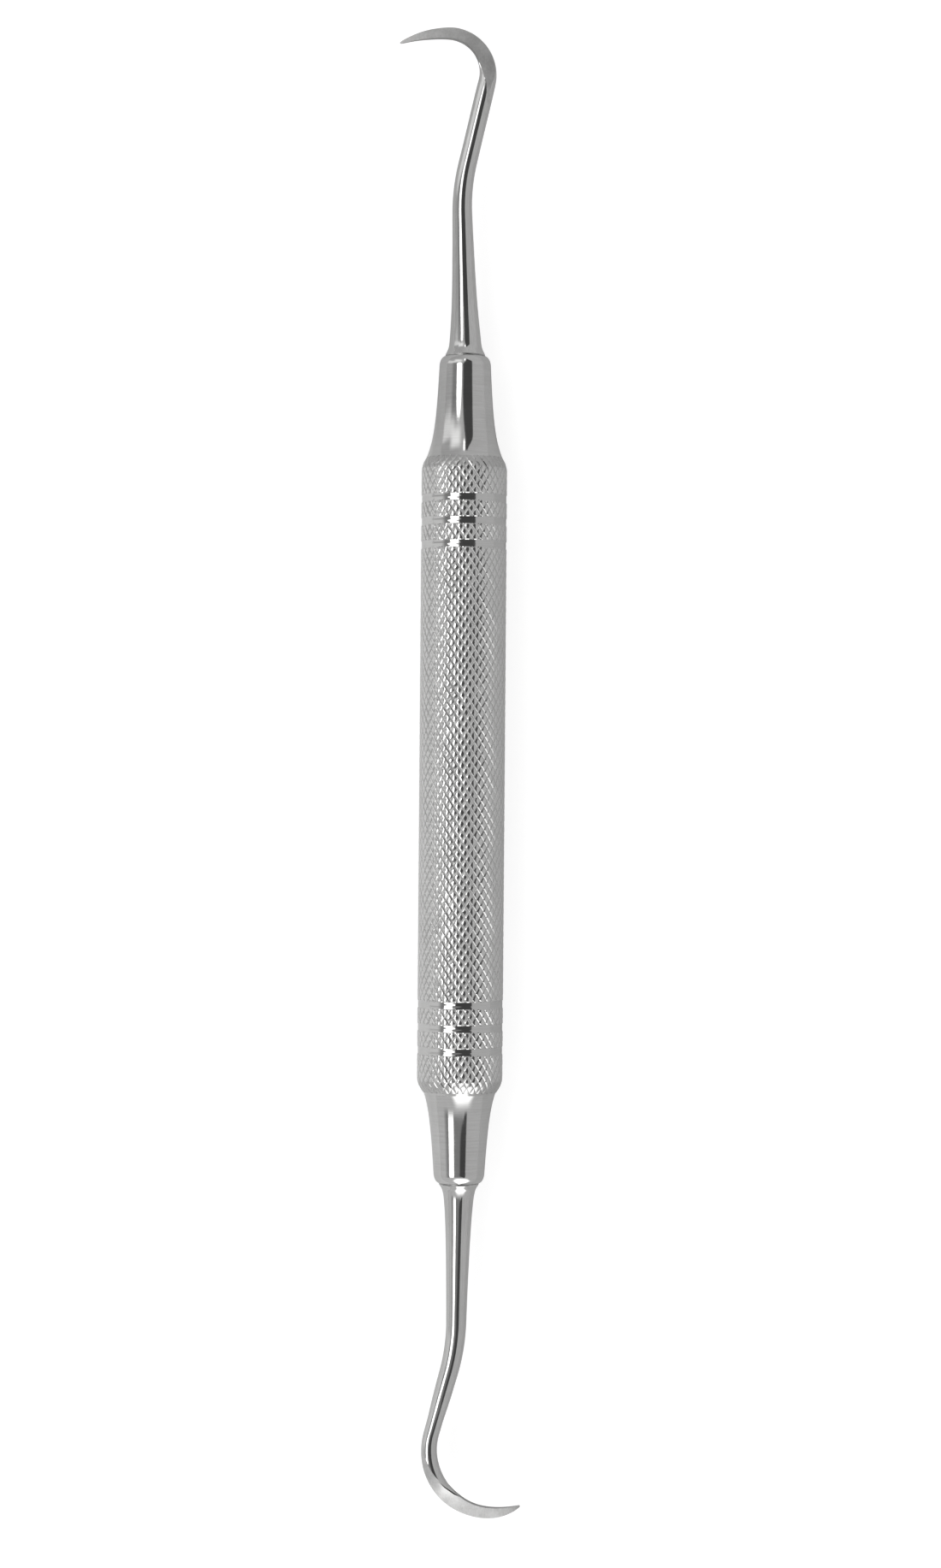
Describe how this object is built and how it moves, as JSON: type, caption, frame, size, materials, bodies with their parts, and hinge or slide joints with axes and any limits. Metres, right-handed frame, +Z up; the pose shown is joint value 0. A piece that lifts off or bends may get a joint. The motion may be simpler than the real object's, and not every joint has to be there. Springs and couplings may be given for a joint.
{
  "type": "hand scaler",
  "caption": "Double-ended dental hand scaler: round knurled hollow handle with plain turned bands, tapered end cones, and slim curved shanks ending in opposed sickle hooks.",
  "frame": {"origin": "on the handle's axis, at the middle of the handle's length", "axes": "+X along the handle towards the upper tip, +Y towards the side that the upper hook points to, +Z up, square to the plane of both hooks, with the tool lying flat on a table"},
  "size_m": [0.165, 0.0146, 0.0094],
  "materials": {
    "handle_steel": "diamond-knurled stainless steel with plain turned bands, lightly polished",
    "cone_steel": "polished turned stainless steel",
    "tip_steel": "polished round shank, satin ground flats on the blade",
    "filler_metal": "braze line dressed flush and polished over"
  },
  "bodies": {
    "root": {"handle_tube": "handle_steel", "upper_weld_ring": "cone_steel", "lower_weld_ring": "cone_steel", "upper_end_cone": "cone_steel", "lower_end_cone": "cone_steel", "upper_braze_ring": "filler_metal", "lower_braze_ring": "filler_metal", "upper_tip": "tip_steel", "lower_tip": "tip_steel"}
  },
  "joints": []
}
